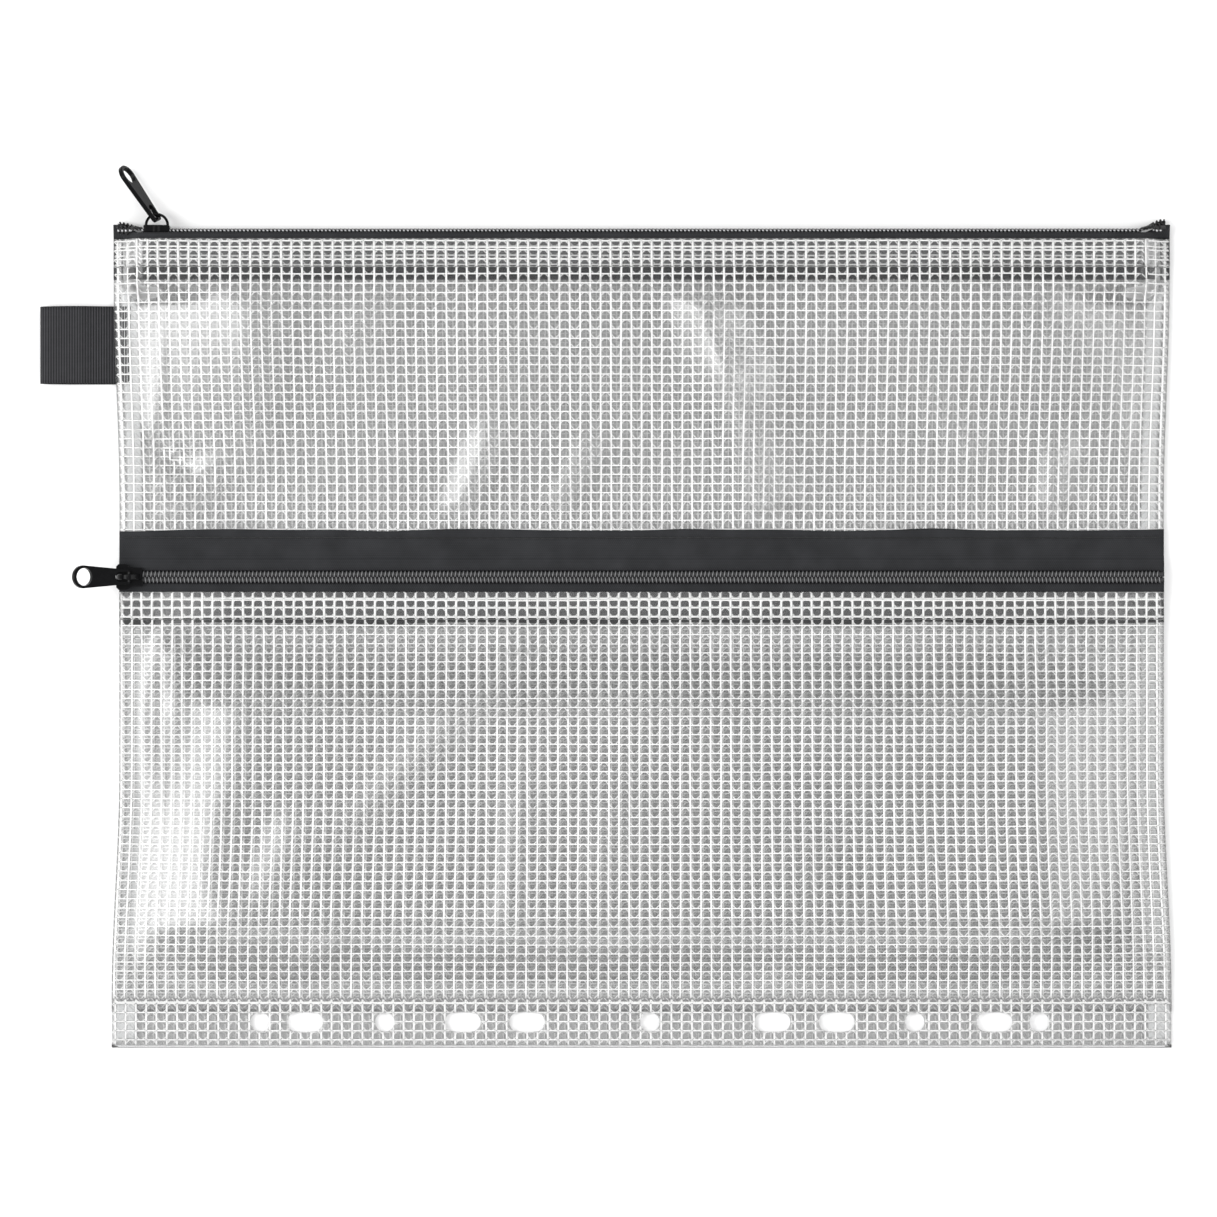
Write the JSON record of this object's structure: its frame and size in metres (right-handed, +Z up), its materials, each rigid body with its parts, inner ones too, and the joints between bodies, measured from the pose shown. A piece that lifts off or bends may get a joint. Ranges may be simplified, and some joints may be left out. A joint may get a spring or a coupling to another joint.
{
  "type": "zipper pouch",
  "caption": "Flat clear mesh film pouch with a top zipper, a zipped front pocket, a hanging loop and a punched ring-binder band.",
  "frame": {"origin": "centre of the pouch body on the plane that its back panel rests on", "axes": "+X along the zippers to the right, +Y towards the mouth, +Z up out of the front pocket"},
  "size_m": [0.3484, 0.2716, 0.0188],
  "materials": {
    "film": "clear milky film over a woven scrim",
    "webbing": "ribbed grosgrain",
    "tape": "woven zipper tape",
    "coil": "black nylon monofilament",
    "enamel": "black enamel, satin gloss"
  },
  "bodies": {
    "pouch": {"back_panel": "film", "front_panel": "film", "pocket_panel": "film", "binder_band": "film", "side_binding_left": "film", "side_binding_right": "film", "hanging_loop": "webbing", "top_tape_front": "tape", "top_tape_back": "tape", "top_coil_front": "coil", "top_coil_back": "coil", "pocket_tape_upper": "tape", "pocket_tape_lower": "tape", "pocket_coil_upper": "coil", "pocket_coil_lower": "coil"},
    "top_slider": {"top_slider": "enamel"},
    "top_pull": {"top_pull": "enamel"},
    "pocket_slider": {"pocket_slider": "enamel"},
    "pocket_pull": {"pocket_pull": "enamel"}
  },
  "joints": [
    {"name": "top_slider_slide", "type": "slide", "parent": "pouch", "child": "top_slider", "axis": [1, 0, 0], "range_m": [0, 0.296], "deforming": ["top_coil_front", "top_coil_back"]},
    {"name": "top_pull_hinge", "type": "hinge", "parent": "top_slider", "child": "top_pull", "pos_m": [-0.1491, 0.12885, 0.0052], "axis": [0, 0, -1], "range_deg": [-56, 118]},
    {"name": "pocket_slider_slide", "type": "slide", "parent": "pouch", "child": "pocket_slider", "axis": [1, 0, 0], "range_m": [0, 0.31], "deforming": ["pocket_coil_upper", "pocket_coil_lower"]},
    {"name": "pocket_pull_hinge", "type": "hinge", "parent": "pocket_slider", "child": "pocket_pull", "pos_m": [-0.1576, 0.0189, 0.00785], "axis": [0, 1, 0], "range_deg": [-32, 148]}
  ]
}
